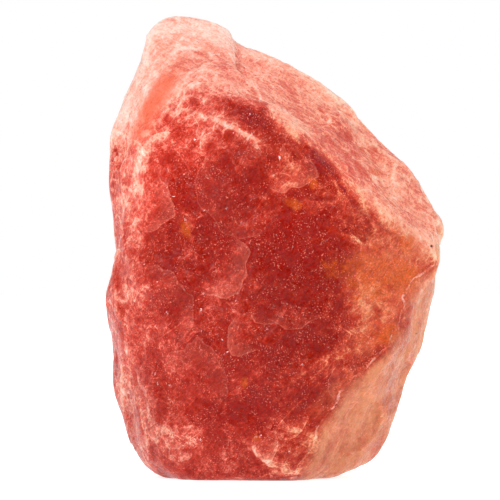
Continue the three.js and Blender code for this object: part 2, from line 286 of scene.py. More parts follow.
# Painted shade: the dark, streaky hollow under the main ridge, with a thin painted shadow line.
PAINTED_RIDGE_SHADE = [
    ((-3.4, -16, 54.2), (4.6, 8, 1.6), 30, 0.5),
    ((1.8, -16, 50.9), (3.6, 8, 0.8), 38, 0.25),
    ((6.3, -17, 47.6), (3.4, 8, 1.2), 45, 0.85),
    ((6, -17, 48.6), (4.4, 8, 0.35), 42, 0.9),
    ((9.8, -17, 43.9), (4.4, 8, 0.35), 52, 0.8),
    ((14.1, -15, 39.6), (4.8, 8, 0.6), 38, 0.5),
]
# Dark mineral specks.
SPECKS = [
    ((23.5, -8, 35.1), (0.28, 8, 0.26), 0, 1),
    ((21.3, -9, 21.9), (0.22, 8, 0.18), 0, 0.9),
    ((21.6, -9, 23.5), (0.18, 8, 0.14), 0, 0.7),
]


def linear(hex_colour):
    """An sRGB hex colour as linear red, green and blue."""
    parts = [int(hex_colour[i : i + 2], 16) / 255 for i in (1, 3, 5)]
    return tuple(p / 12.92 if p <= 0.04045 else ((p + 0.055) / 1.055) ** 2.4 for p in parts)


def colour(name, hex_colour, description):
    """A colour setting of the panel."""
    return bpy.props.FloatVectorProperty(
        name=name,
        description=description,
        subtype="COLOR",
        size=3,
        min=0,
        max=1,
        default=linear(hex_colour),
    )


def amount(name, default, description, **more):
    """A number setting of the panel."""
    settings = {"min": 0, "default": default, **more}
    return bpy.props.FloatProperty(name=name, description=description, **settings)


def length(name, millimetres, description):
    """A length setting of the panel."""
    units = {"subtype": "DISTANCE", "unit": "LENGTH", "precision": 5}
    return amount(name, millimetres * MM, description, **units)


class QUARTZ_PG_shape(bpy.types.PropertyGroup):
    step_share: amount("Crisp steps", 0.4, "How much of each scar's depth is a crisp step", max=1)
    sharpness: amount(
        "Sharpness", 1.0, "How far ridges and hollows are drawn out, to meet in edges", max=2
    )
    chips: bpy.props.IntProperty(
        name="Chips", description="Small chips all over the stone", min=0, default=420
    )
    chip_depth: length("Chip depth", 0.22, "How deep the small chips are")
    facet_size: length("Facet size", 2.8, "How wide the small broken facets are")
    facet_depth: length("Facet depth", 0.16, "How far the small facets tilt")
    grain_size: length("Grain size", 1.0, "How wide the broken grains are")
    grain_depth: length("Grain depth", 0.05, "How high the broken grains are")
    seed: bpy.props.IntProperty(name="Seed", description="Places the chips", default=11)


class QUARTZ_PG_finish(bpy.types.PropertyGroup):
    heart: colour("Heart", "#960C00", "The deepest red, inside the stone")
    deep: colour("Deep red", "#A01A07", "Red where few cracks wash it out")
    red: colour("Red", "#B22A1A", "The body of the red face")
    rose: colour("Rose", "#C84636", "Red behind fine cracks")
    salmon: colour("Salmon", "#DC6E5E", "Thin and cracked parts")
    blush: colour("Blush", "#F29A83", "Worn edges")
    # Also the colour of the painted highlights.
    frost_and_highlight: colour("Frost", "#FDD6C8", "Fresh breaks that catch the light")
    rust: colour("Rust", "#D25A10", "Iron stains")
    beige: colour("Beige", "#D88E64", "The pale bevel")
    # The colour of the painted glow.
    painted_glow: colour("Ember", "#E86C4E", "The strip where light glows through")
    orange: colour("Orange", "#CE603C", "Parts that are evenly orange")
    # The colour of the painted shade under the ridge.
    ridge_shade: colour("Wine", "#86181E", "The hollow under the ridge")
    amber: colour("Amber", "#F4F6D2", "What tints the right of the stone")
    milk: colour("Milky cracks", "#D87C6A", "Curved cracks that show inside the quartz")
    # The colour of the painted glints.
    painted_glint: colour("Bright points", "#FF9480", "Grains of the break that catch the light")
    speck: colour("Speck", "#1E0E0A", "Dark mineral specks")
    glow: amount("Glow", 0.4, "How much of the light goes through the quartz", max=1)
    glow_depth: length("Glow depth", 2.2, "How deep red light goes into the quartz")


class QUARTZ_PG_stage(bpy.types.PropertyGroup):
    floor: colour("Floor", "#C9C8C6", "The studio floor")
    table: amount("Light table", 0.8, "Light through the floor")
    lens: amount("Lens", 360, "The camera's lens, in millimetres", min=20)
    distance: length("Camera distance", 760.0, "From the camera to the middle of the stone")
    surround: amount("Surround", 0.68, "Light from above, beside and behind")
    front: amount("Front", 0.1, "Light from in front")
    key: amount("Key light", 1.2, "Soft light from above and the left")
    rim: amount("Rim light", 0.7, "Soft light from the right")
    glint: amount("Glint light", 0.8, "Small light that the grains catch")


def add(tree, kind, inputs=None, **settings):
    """A node of one kind in a tree, with its settings. Each input is set, or linked to a socket or
    to the first socket of another node."""
    made = tree.nodes.new(kind)
    for name, value in {**USUAL.get(kind, {}), **settings}.items():
        setattr(made, name, value)
    for socket, value in (inputs or {}).items():
        if isinstance(value, bpy.types.Node):
            value = value.outputs[0]
        if isinstance(value, bpy.types.NodeSocket):
            tree.links.new(value, made.inputs[socket])
        else:
            made.inputs[socket].default_value = value
    return made


def empty_tree(owner):
    """The node tree of a material or a world, with nothing in it yet."""
    owner.use_nodes = True
    owner.node_tree.nodes.clear()
    return owner.node_tree


def vectors(items, name):
    """One vector of each of a mesh's points."""
    found = np.empty(len(items) * 3)
    items.foreach_get(name, found)
    return found.reshape(-1, 3)


def points_of(mesh):
    return vectors(mesh.vertices, "co")


def normals_of(mesh):
    return vectors(mesh.vertex_normals, "vector")


def clean_mesh(name, node):
    """A copy of a CAD node's mesh with each point once, from its loose triangles."""
    co = points_of(node.data)
    corners = np.empty(len(node.data.loops), dtype=np.int64)
    node.data.loops.foreach_get("vertex_index", corners)
    keys = np.round(co / WELD).astype(np.int64)
    _, first, which = np.unique(keys, axis=0, return_index=True, return_inverse=True)
    faces = which.reshape(-1)[corners].reshape(-1, 3)
    mesh = bpy.data.meshes.new(name)
    mesh.from_pydata(co[first].tolist(), [], faces.tolist())
    return mesh


def smoothed(mesh, values, rounds):
    """Values on a mesh's points, each moved halfway to the mean of its neighbours, many times."""
    ends = np.empty(len(mesh.edges) * 2, dtype=np.int64)
    mesh.edges.foreach_get("vertices", ends)
    a, b = ends.reshape(-1, 2).T
    count = np.bincount(a, minlength=len(values)) + np.bincount(b, minlength=len(values))
    for _ in range(rounds):
        total = np.empty_like(values)
        for k in range(values.shape[1]):
            total[:, k] = np.bincount(a, values[b, k], len(values))
            total[:, k] += np.bincount(b, values[a, k], len(values))
        values = (values + total / count[:, None]) / 2
    return values


def store(mesh, name, values):
    """Keeps one number for each point of a mesh as an attribute."""
    attribute = mesh.attributes.get(name) or mesh.attributes.new(name, "FLOAT", "POINT")
    attribute.data.foreach_set("value", np.ascontiguousarray(values, dtype=np.float32))


def sharpen(mesh, share, rounds):
    """Draws the skin out at its ridges and in at its hollows, so that its faces meet in edges."""
    co = points_of(mesh)
    standing = smoothstep(0, SHARP_START, co[:, 2])[:, None]
    drawn = co + share * standing * (co - smoothed(mesh, co, rounds))
    mesh.vertices.foreach_set("co", drawn.ravel())
    mesh.update()


def smoothstep(low, high, values):
    share = np.clip((values - low) / (high - low), 0, 1)
    return share * share * (3 - 2 * share)


def level_across(facing):
    """The level direction to the right of someone who looks at a patch that faces this way."""
    return Vector((0, 0, 1)).cross(facing).normalized()


class Scars:
    """The scars of flakes that broke away, gathered for all points of a mesh at once."""

    def __init__(self, mesh):
        self.co = points_of(mesh)
        self.normals = normals_of(mesh)
        self.wobble = np.array([noise.noise(Vector(p) / WOBBLE_LENGTH) for p in self.co])
        self.depth = np.zeros(len(self.co))
        self.rim = np.zeros(len(self.co))
        self.veil = np.zeros(len(self.co))

    def add(self, middle, wide, long, deep, sinks, veil, frosted=1.0):
        """One scar about a point of the skin. Sizes are in metres and the turn in degrees. Its
        veil and the line along its step are as pale as the last two numbers say."""
        offset = self.co - middle
        near = np.flatnonzero((offset**2).sum(axis=1) < (0.75 * max(wide, long)) ** 2)
        offset = offset[near]
        core = (offset**2).sum(axis=1) < (wide / 2) ** 2
        facing = Vector(self.normals[near][core].sum(axis=0)).normalized()
        along = Matrix.Rotation(math.radians(sinks), 3, facing) @ level_across(facing)
        beside = facing.cross(along)
        u = offset @ np.array(along) / (long / 2)
        v = offset @ np.array(beside) / (wide / 2)
        over = np.abs(offset @ np.array(facing)) < wide / 2
        angle = np.arctan2(v, u)
        lobes = np.sin(2 * angle + long / MM) + np.sin(3 * angle + wide / MM)
        inside = 1 + LOBE_SHARE * lobes + OUTLINE_WOBBLE * self.wobble[near] - np.hypot(u, v)
        reach = inside * wide / 2
        far_end = np.clip((1 + u) / 2, 0, 1)
        step = smoothstep(0, STEP_WIDTH, reach) * over
        self.depth[near] = np.maximum(self.depth[near], deep * far_end * step)
        line = np.exp(-((reach / RIM_WIDTH) ** 2)) * smoothstep(0.5, 0.95, far_end) * over
        self.rim[near] = np.maximum(self.rim[near], frosted * line)
        self.veil[near] = np.maximum(self.veil[near], veil * step * smoothstep(0.45, 1.0, far_end))


def scar_skin(mesh, shape):
    """Sinks the skin into the scars, crisp and small, and keeps their frosted lines and veils."""
    polygons = [tuple(p.vertices) for p in mesh.polygons]
    skin = BVHTree.FromPolygons([Vector(v.co) for v in mesh.vertices], polygons)
    scars = Scars(mesh)
    for side, rows in FLAKES.items():
        towards = Vector(side)
        for across, up, wide, long, deep, sinks, veil in rows:
            start = towards + level_across(towards) * across * MM + Vector((0, 0, up * MM))
            middle = np.array(skin.ray_cast(start, -towards)[0])
            depth = min(deep, DEEPEST_STEP) * shape.step_share
            scars.add(middle, wide * MM, long * MM, depth * MM, sinks, veil)
    rng = np.random.default_rng(shape.seed)
    for _ in range(shape.chips):
        middle = scars.co[rng.integers(len(scars.co))]
        wide = rng.uniform(*CHIP_WIDTHS) * MM
        long = wide * rng.uniform(*CHIP_STRETCH)
        deep = shape.chip_depth * rng.uniform(*CHIP_DEPTHS)
        scars.add(middle, wide, long, deep, rng.uniform(0, 360), 0.0, CHIP_RIM)
    standing = smoothstep(0, FOOT_EDGE, scars.co[:, 2])
    sunk = scars.co - scars.normals * (scars.depth * standing)[:, None]
    mesh.vertices.foreach_set("co", sunk.ravel())
    store(mesh, "rim", scars.rim)
    store(mesh, "veil", scars.veil)
    mesh.update()


def broken_relief():
    """A Geometry Nodes tree: small tilted facets and grains over a skin, which stays flat where
    it stands."""
    tree = bpy.data.node_groups.new("broken_relief", "GeometryNodeTree")
    socket = tree.interface.new_socket
    socket("Skin", in_out="INPUT", socket_type="NodeSocketGeometry")
    for name in ("Facet Size", "Facet Depth", "Grain Size", "Grain Depth"):
        socket(name, in_out="INPUT", socket_type="NodeSocketFloat")
    socket("Finish", in_out="INPUT", socket_type="NodeSocketMaterial")
    socket("Stone", in_out="OUTPUT", socket_type="NodeSocketGeometry")
    start = add(tree, "NodeGroupInput").outputs
    place = add(tree, "GeometryNodeInputPosition")
    rise = 0.0
    for size, depth in (("Facet Size", "Facet Depth"), ("Grain Size", "Grain Depth")):
        near = add(tree, "ShaderNodeMath", {0: 1.0, 1: start[size]}, operation="DIVIDE")
        cell = add(tree, "ShaderNodeTexVoronoi", {"Vector": place, "Scale": near}).outputs
        slope = add(
            tree,
            "ShaderNodeVectorMath",
            {0: cell["Color"], 1: (0.5, 0.5, 0.5)},
            operation="SUBTRACT",
        )
        offset = add(
            tree, "ShaderNodeVectorMath", {0: place, 1: cell["Position"]}, operation="SUBTRACT"
        )
        tilt = add(
            tree, "ShaderNodeVectorMath", {0: slope, 1: offset}, operation="DOT_PRODUCT"
        ).outputs["Value"]
        share = add(tree, "ShaderNodeMath", {0: tilt, 1: near})
        rise = summed(tree, rise, [(share, start[depth])])
    height = add(tree, "ShaderNodeSeparateXYZ", {0: place}).outputs["Z"]
    standing = add(tree, "ShaderNodeMapRange", {"Value": height, "From Max": FOOT_EDGE})
    free = add(tree, "ShaderNodeMath", {0: rise, 1: standing})
    facing = add(tree, "GeometryNodeInputNormal")
    outward = add(tree, "ShaderNodeVectorMath", {0: facing, "Scale": free}, operation="SCALE")
    moved = add(tree, "GeometryNodeSetPosition", {"Geometry": start["Skin"], "Offset": outward})
    smooth = add(tree, "GeometryNodeSetShadeSmooth", {"Geometry": moved})
    real = add(tree, "GeometryNodeRealizeInstances", {"Geometry": smooth})
    done = add(tree, "GeometryNodeSetMaterial", {"Geometry": real, "Material": start["Finish"]})
    add(tree, "NodeGroupOutput", {"Stone": done})
    return tree


def set_input(modifier, name, value):
    """Sets a Geometry Nodes modifier's input by the identifier of its socket."""
    for item in modifier.node_group.interface.items_tree:
        if item.name == name and item.in_out == "INPUT":
            modifier[item.identifier] = value
            return
    raise RuntimeError(f"the tree has no input named {name}")


def applied(owner, name):
    """The plain mesh that an object's modifiers make. The modifiers are removed."""
    graph = bpy.context.evaluated_depsgraph_get()
    made = bpy.data.meshes.new_from_object(owner.evaluated_get(graph), depsgraph=graph)
    made.name = name
    owner.modifiers.clear()
    return made


def oval(tree, place, middle, half_sizes, turn):
    """Places measured from the middle of an oval in its half sizes, and how far inside it a place
    lies, from 0 at its edge to 1 in its middle."""
    local = add(
        tree,
        "ShaderNodeMapping",
        {
            "Vector": place,
            "Location": [m * MM for m in middle],
            "Rotation": (0, math.radians(turn), 0),
            "Scale": [h * MM for h in half_sizes],
        },
    )
    ball = add(tree, "ShaderNodeTexGradient", {"Vector": local}, gradient_type="SPHERICAL")
    return local, ball.outputs["Fac"]


def patches(tree, place, rows, join="MAXIMUM"):
    """Soft oval patches, each as strong as its last number says: the largest, or all added up."""
    total = 0.0
    for *where, strength in rows:
        _, inside = oval(tree, place, *where)
        share = add(
            tree, "ShaderNodeMapRange", {"Value": inside, "From Max": 0.65, "To Max": strength}
        )
        total = add(tree, "ShaderNodeMath", {0: share, 1: total}, operation=join)
    return total


def summed(tree, start, terms):
    """A number plus others, each times its own weight."""
    for value, weight in terms:
        start = add(
            tree, "ShaderNodeMath", {0: value, 1: weight, 2: start}, operation="MULTIPLY_ADD"
        )
    return start


def swing(tree, place, size, detail=2.0, rough=0.6):
    """Noise that swings about nothing, with lumps of a size in millimetres."""
    made = add(
        tree,
        "ShaderNodeTexNoise",
        {"Vector": place, "Scale": 1 / (size * MM), "Detail": detail, "Roughness": rough},
    )
    return add(tree, "ShaderNodeMath", {0: made, 1: 0.5}, operation="SUBTRACT")


def eased(tree, place, noise, low, high, least=0.0, most=1.0):
    """Noise of a size, detail and roughness, eased from the least at its low to the most at its
    high."""
    return add(
        tree,
        "ShaderNodeMapRange",
        {
            "Value": swing(tree, place, *noise),
            "From Min": low,
            "From Max": high,
            "To Min": least,
            "To Max": most,
        },
    )


def crossings(tree, value, width, strength):
    """Lines along which a value passes through nothing: strongest there, and gone at a width."""
    away = add(tree, "ShaderNodeMath", {0: value}, operation="ABSOLUTE")
    return add(
        tree,
        "ShaderNodeMapRange",
        {"Value": away, "From Min": width, "From Max": 0.0, "To Max": strength},
    )


def cells(tree, place, size):
    """Cells of a size about points strewn at random. Gives a number for each cell, from -1 to 1,
    and how far a plane that tilts its own way in each cell rises, in cell sizes."""
    made = add(tree, "ShaderNodeTexVoronoi", {"Vector": place, "Scale": 1 / size}).outputs
    spread = add(
        tree,
        "ShaderNodeVectorMath",
        {0: made["Position"], 1: [step / size for step in (37.0, 57.0, 91.0)]},
        operation="MULTIPLY",
    )
    chance = add(tree, "ShaderNodeVectorMath", {0: spread}, operation="SINE")
    offset = add(
        tree, "ShaderNodeVectorMath", {0: place, 1: made["Position"]}, operation="SUBTRACT"
    )
    tilt = add(
        tree, "ShaderNodeVectorMath", {0: chance, 1: offset}, operation="DOT_PRODUCT"
    ).outputs["Value"]
    rise = add(tree, "ShaderNodeMath", {0: tilt, 1: size}, operation="DIVIDE")
    return add(tree, "ShaderNodeSeparateXYZ", {0: chance}), rise


def shards(tree, place, sizes, turn, uneven, line):
    """Shards between flat cracks: each is a little paler or redder than the next, and paler
    towards one of its sides, and the cracks show as thin pale lines."""
    stretched = add(
        tree,
        "ShaderNodeMapping",
        {
            "Vector": place,
            "Rotation": (0, math.radians(turn), math.radians(turn / 3)),
            "Scale": [size * MM for size in sizes],
        },
    )
    tone, lean = cells(tree, stretched, 1.0)
    seam = add(
        tree,
        "ShaderNodeTexVoronoi",
        {"Vector": stretched, "Scale": 1.0},
        feature="DISTANCE_TO_EDGE",
    )
    crack = add(
        tree, "ShaderNodeMapRange", {"Value": seam, "From Min": 0.1 / sizes[2], "From Max": 0.0}
    )
    fading = eased(tree, place, (sizes[0],), -0.1, 0.15)
    seen = add(tree, "ShaderNodeMath", {0: crack, 1: fading})
    return summed(tree, 0.0, [(tone, 0.5 * uneven), (lean, 0.8 * uneven), (seen, line)])


def veils(tree, place, size, turn, shift, pale, line):
    """Curved cracks that end inside the quartz. Each has a crisp edge with a thin bright line,
    and is palest along it. They are half as long again one way, turned about the Y axis. The size
    and the shift to another set of cracks are in millimetres."""
    stretched = add(
        tree,
        "ShaderNodeMapping",
        {
            "Vector": place,
            "Location": [s * MM for s in shift],
            "Rotation": (0, math.radians(turn), 0),
            "Scale": (1.5 * size * MM, size * MM, size * MM),
        },
    )
    level = swing(tree, stretched, 1 / MM, 1.0, 0.4)
    fading = eased(tree, stretched, (0.8 / MM,), -0.06, 0.12)
    behind = add(
        tree,
        "ShaderNodeMapRange",
        {"Value": level, "From Min": 0.18, "From Max": 0.0, "To Max": pale},
    )
    beyond = add(tree, "ShaderNodeMath", {0: level, 1: 0.0}, operation="GREATER_THAN")
    sheet = add(tree, "ShaderNodeMath", {0: behind, 1: beyond})
    edge = crossings(tree, level, 0.04 / size, line)
    both = add(tree, "ShaderNodeMath", {0: sheet, 1: edge}, operation="ADD")
    return add(tree, "ShaderNodeMath", {0: both, 1: fading})


def lobes(tree, place, rows):
    """Single curved cracks as rounded lobes. Each is pale towards the edge at its far end, which
    has a thin bright line."""
    total = 0.0
    for middle, half_sizes, turn, pale, line in rows:
        local, ball = oval(tree, place, middle, half_sizes, turn)
        forward = add(tree, "ShaderNodeTexGradient", {"Vector": local}).outputs["Fac"]
        far_end = add(tree, "ShaderNodeMapRange", {"Value": forward, "From Max": 0.5})
        sheet = add(
            tree,
            "ShaderNodeMapRange",
            {"Value": ball, "From Min": 0.8, "From Max": 0.05, "To Max": pale},
        )
        within = add(tree, "ShaderNodeMath", {0: ball, 1: 0.0}, operation="GREATER_THAN")
        inside = add(tree, "ShaderNodeMath", {0: sheet, 1: within})
        thick = 0.2 / half_sizes[0]
        off_edge = add(
            tree, "ShaderNodeMath", {0: ball, 1: 0.55 * thick, 2: 0.5 * thick}, operation="COMPARE"
        )
        both = summed(tree, inside, [(off_edge, line)])
        seen = add(tree, "ShaderNodeMath", {0: both, 1: far_end})
        total = add(tree, "ShaderNodeMath", {0: total, 1: seen}, operation="ADD")
    return total


def threads(tree, place, size, pale):
    """Fine wavy pale threads, as rows of bubbles in the quartz. The size is in millimetres."""
    return crossings(tree, swing(tree, place, size, 4.0), 0.045, pale)


def wrinkles(tree, place):
    """Small frosted places, full of fine pale wrinkles 0.8 mm apart."""
    where = eased(tree, place, (4.2, 2.0), 0.1, 0.24)
    fine = threads(tree, place, 0.8, 1.0)
    return add(tree, "ShaderNodeMath", {0: where, 1: fine})


def painted_glints(tree, place):
    """Painted glints: bright points, crowded along wavering curves and none between them. They are
    0.2 mm across, as coarse as they need to be to show, because the real ones are as fine as dust."""
    points = eased(tree, place, (0.19, 0.0), 0.1, 0.34)
    crowd = crossings(tree, swing(tree, place, 3.6, 4.0), 0.12, 0.64)
    return add(tree, "ShaderNodeMath", {0: points, 1: crowd})


def strawberry_quartz(finish):
    """Strawberry quartz, broken and a little worn: milky quartz, red with fine iron oxide. Its
    depth shows as clouds of red under a glassy skin. Cracks, fresh breaks and thin edges scatter
    the light and look pale, partly by painted highlights; the grain of the break gives small
    painted glints; and patches of painted light and shade brighten and darken it."""
    material = bpy.data.materials.new("strawberry_quartz_broken")
    tree = empty_tree(material)
    place = add(tree, "ShaderNodeTexCoord").outputs["Object"]
    marks = {
        name: add(tree, "ShaderNodeAttribute", attribute_name=name).outputs["Fac"]
        for name in ("above", "beyond", "flank", "back", "veil", "rim", "edge", "hollow")
    }
    # Three noises with lumps of 6 mm, taken at places far apart, sway a place three ways.
    ways = [
        add(
            tree,
            "ShaderNodeVectorMath",
            {0: place, 1: (0.31 * k, 0.17 * k, 0.23 * k)},
            operation="ADD",
        )
        for k in range(3)
    ]
    sway = add(
        tree, "ShaderNodeCombineXYZ", {k: swing(tree, way, 6.0) for k, way in enumerate(ways)}
    )
    # Clouds drift a few millimetres off their ovals, fractures less, and flat cracks least.
    drifted, wavy, bent = (
        add(
            tree,
            "ShaderNodeVectorMath",
            {0: sway, 1: (reach * MM,) * 3, 2: place},
            operation="MULTIPLY_ADD",
        ).outputs[0]
        for reach in (CLOUD_DRIFT, FRACTURE_DRIFT, CRACK_DRIFT)
    )
    # The bevel has a bright wavering border.
    beyond = summed(tree, marks["beyond"], [(swing(tree, place, 2.4, 3.0, 0.5), 2.4)])
    bevel = add(tree, "ShaderNodeMapRange", {"Value": beyond, "From Min": -0.2, "From Max": 1.8})
    border = add(tree, "ShaderNodeMath", {0: beyond, 1: 0.0, 2: 0.15}, operation="COMPARE")
    # The roof starts in a ragged line along the crest.
    ragged = summed(tree, marks["above"], [(swing(tree, place, 2.4, 5.0, 0.65), 3.0)])
    roof = add(tree, "ShaderNodeMapRange", {"Value": ragged, "From Min": -0.6, "From Max": 2.0})
    # Silky fibres along the roof, 7 mm long and 0.3 mm wide, parallel to the main ridge.
    along_ridge = add(
        tree,
        "ShaderNodeMapping",
        {
            "Vector": wavy,
            "Rotation": (0, math.radians(32), 0),
            "Scale": (7 * MM, 1.6 * MM, 0.32 * MM),
        },
    )
    fibre = add(
        tree,
        "ShaderNodeTexNoise",
        {"Vector": along_ridge, "Scale": 1.0, "Detail": 3.0, "Distortion": 0.6},
    )
    silk = add(tree, "ShaderNodeMath", {0: fibre, 1: 0.5}, operation="SUBTRACT")
    roof_silk = add(tree, "ShaderNodeMath", {0: silk, 1: roof})

    milk = lobes(tree, drifted, LOBES)
    # Painted highlights: pale spots where a fresh break catches the light.
    frosted = patches(tree, bent, PAINTED_HIGHLIGHTS)
    # The border is bright only here and there.
    pale = eased(tree, place, (2.0, 3.0), -0.05, 0.2, most=0.6)
    bright_border = add(tree, "ShaderNodeMath", {0: pale, 1: border})

    def depths():
        """What shows inside the quartz, above or below nothing, and how much of it."""
        yield patches(tree, drifted, CLOUDS, "ADD"), 1.0
        yield swing(tree, place, 9.0), 0.28
        yield swing(tree, place, 3.2, 2.0, 0.5), 0.52
        yield swing(tree, place, 1.1, 3.0, 0.5), 0.34
        yield veils(tree, bent, 2.4, 10, (17, 5, 29), 0.1, 0.15), 1.0
        # Clear spots without cracks look deep.
        yield eased(tree, wavy, (3.6, 3.0), 0.04, 0.2), -0.14
        yield shards(tree, bent, (9.0, 6.0, 5.0), -44, 0.13, 0.16), 1.0
        yield shards(tree, bent, (3.4, 3.0, 2.2), -30, 0.08, 0.1), 1.0
        yield veils(tree, bent, 11.0, -46, (3, 0, 5), 0.22, 0.18), 1.0
        yield veils(tree, bent, 6.5, -30, (41, 7, 13), 0.2, 0.18), 1.0
        yield veils(tree, bent, 4.0, 35, (11, 33, 21), 0.16, 0.16), 1.0
        yield milk, 0.6

    def skin_layers(inner):
        """What shows on the broken skin, with painted highlights and shade, and how much of it."""
        # The roof, and at the back what faces up, is paler, as frost and as painted light from
        # above, and hides most of what lies inside.
        clear = add(tree, "ShaderNodeMapRange", {"Value": roof, "To Min": 1.0, "To Max": 0.36})
        yield inner, clear
        yield roof, 0.64
        for name, weight in (
            ("flank", 0.34),
            ("back", 0.12),
            ("veil", 0.1),
            ("rim", 0.16),
            # Proud edges are paler, as wear and as a painted highlight; hollows darker, as painted
            # shade.
            ("edge", 0.15),
            ("hollow", -0.08),
        ):
            yield marks[name], weight
        yield bevel, 0.12
        yield border, 0.12
        # Fine streaks 0.8 mm long and 0.2 mm thick.
        streaked = add(
            tree,
            "ShaderNodeMapping",
            {"Vector": place, "Rotation": (0, math.radians(-48), 0), "Scale": (3.2, 1.6, 0.7)},
        )
        yield swing(tree, streaked, 0.26, 1.0), 0.3
        yield threads(tree, wavy, 3.0, 0.17), 1.0
        yield threads(tree, wavy, 1.3, 0.14), 1.0
        yield wrinkles(tree, wavy), 0.42
        yield roof_silk, 0.42
        yield patches(tree, bent, CRACKS), 0.45
        # The painted highlight spots.
        yield frosted, 0.42

    # How washed out the red is, from 0 for the clear deep heart to 1 for frosted edges and painted
    # highlights.
    wash = summed(tree, 0.09, skin_layers(summed(tree, 0.0, depths())))
    stops = {
        0.0: finish.heart,
        0.18: finish.deep,
        0.38: finish.red,
        0.57: finish.rose,
        0.74: finish.salmon,
        0.9: finish.blush,
        1.3: finish.frost_and_highlight,
    }
    palest = max(stops)
    share = add(tree, "ShaderNodeMath", {0: wash, 1: palest}, operation="DIVIDE")
    ramp = add(tree, "ShaderNodeValToRGB", {"Fac": share})
    while len(ramp.color_ramp.elements) < len(stops):
        ramp.color_ramp.elements.new(1.0)
    for element, (position, shade) in zip(ramp.color_ramp.elements, stops.items()):
        element.position = position / palest
        element.color = (*shade, 1)

    # The stone is more orange to the right, from 8 mm left of the middle on, but less so on the
    # bevel, and least on the roof.
    across = add(tree, "ShaderNodeSeparateXYZ", {0: drifted})
    amber = add(
        tree, "ShaderNodeMapRange", {"Value": across, "From Min": -8 * MM, "From Max": 10 * MM}
    )
    below = add(
        tree,
        "ShaderNodeMapRange",
        {"Value": marks["above"], "From Min": -1.0, "From Max": 4.0, "To Min": 1.0, "To Max": 0.3},
    )
    clean = add(tree, "ShaderNodeMapRange", {"Value": bevel, "To Min": below, "To Max": 0.8})
    tinted = add(tree, "ShaderNodeMath", {0: amber, 1: clean})
    # The bevel is beige, here more and there less, and the hollow under the ridge is streaked with
    # painted wine-red shade.
    worn = eased(tree, wavy, (4.0, 4.0, 0.65), -0.16, 0.16, 0.35, 0.85)
    beige = add(tree, "ShaderNodeMath", {0: bevel, 1: worn})
    streak = add(tree, "ShaderNodeMapRange", {"Value": silk, "From Min": 0.11, "From Max": -0.06})
    ridge_shade = add(tree, "ShaderNodeMath", {0: patches(tree, wavy, PAINTED_RIDGE_SHADE), 1: streak})
    # Iron stains the quartz in blotches, and washes the right of it orange in mottles.
    blotchy = summed(tree, patches(tree, wavy, STAINS), [(swing(tree, place, 1.3, 5.0, 0.7), 2.2)])
    rust = add(
        tree,
        "ShaderNodeMapRange",
        {"Value": blotchy, "From Min": 0.15, "From Max": 1.0, "To Max": 0.6},
    )
    mottled = eased(tree, place, (1.6, 4.0, 0.7), -0.2, 0.2, 0.15, 0.9)
    orange = add(tree, "ShaderNodeMath", {0: patches(tree, wavy, ORANGES), 1: mottled})
    glint_points = painted_glints(tree, wavy)
    body = ramp.outputs["Color"]
    for blend, share, shade in (
        ("MULTIPLY", tinted, finish.amber),
        ("MIX", orange, finish.orange),
        # A painted glow.
        ("MIX", patches(tree, wavy, PAINTED_GLOW_STRIPS), finish.painted_glow),
        ("MIX", rust, finish.rust),
        ("MIX", milk, finish.milk),
        ("MIX", beige, finish.beige),
        ("MIX", bright_border, finish.frost_and_highlight),
        # Painted shade under the ridge.
        ("MIX", ridge_shade, finish.ridge_shade),
        # Painted glints.
        ("MIX", glint_points, finish.painted_glint),
        ("MIX", patches(tree, place, SPECKS), finish.speck),
    ):
        body = add(
            tree,
            "ShaderNodeMix",
            {0: share, 6: body, 7: (*shade, 1)},
            data_type="RGBA",
            blend_type=blend,
        ).outputs[2]

    # Each small splinter of the break, 0.6 mm long and 0.3 mm wide, is a little brighter or darker
    # than the next, least on the roof and the bevel.
    splinters = add(
        tree,
        "ShaderNodeMapping",
        {"Vector": wavy, "Rotation": (0, math.radians(-40), 0), "Scale": (1.0, 0.7, 0.5)},
    )
    smoother = add(tree, "ShaderNodeMath", {0: roof, 1: bevel}, operation="MAXIMUM")
    uneven = add(tree, "ShaderNodeMapRange", {"Value": smoother, "To Min": 1.5, "To Max": 0.6})
    # The painted light and shade patches, and each splinter's own brightness, set how bright it is.
    light = summed(
        tree,
        patches(tree, drifted, PAINTED_LIGHT, "ADD"),
        [(swing(tree, splinters, 0.6, 2.0, 0.8), uneven), (1.0, 1.0)],
    )
    body = add(tree, "ShaderNodeHueSaturation", {"Color": body, "Value": light})

    # The break is made of small flat grains 0.8 mm across, with lumps on them 0.1 mm high.
    lumps = swing(tree, place, 0.7, 3.0)
    _, tilt = cells(tree, place, 0.8 * MM)
    relief = summed(tree, lumps, [(tilt, 0.8), (roof_silk, 0.8)])
    bump = add(tree, "ShaderNodeBump", {"Height": relief, "Strength": 0.6, "Distance": 0.2 * MM})
    # The glassy skin over it has flat facets 0.5 mm across, which glint one by one.
    _, facet = cells(tree, wavy, 0.5 * MM)
    skin = summed(tree, 0.0, [(facet, 1.2), (tilt, 0.6)])
    glass = add(tree, "ShaderNodeBump", {"Height": skin, "Strength": 0.8, "Distance": 0.2 * MM})
    gloss = add(
        tree,
        "ShaderNodeMapRange",
        {"Value": lumps, "From Min": -0.2, "From Max": 0.2, "To Min": 0.18, "To Max": 0.42},
    )
    # The painted glints lie in the skin, so no light spreads under them.
    deep = add(
        tree,
        "ShaderNodeMapRange",
        {"Value": glint_points, "From Max": 0.4, "To Min": finish.glow, "To Max": 0.1},
    )
    surface = add(
        tree,
        "ShaderNodeBsdfPrincipled",
        {
            "Base Color": body,
            "Roughness": gloss,
            "IOR": 1.54,
            "Specular IOR Level": 0.09,
            "Normal": bump,
            "Coat Weight": 0.16,
            "Coat Roughness": 0.08,
            "Coat IOR": 1.54,
            "Coat Normal": glass,
            "Subsurface Weight": deep,
            "Subsurface Radius": (1.0, 0.22, 0.16),
            "Subsurface Scale": finish.glow_depth,
        },
    )
    add(tree, "ShaderNodeOutputMaterial", {"Surface": surface})
    return material


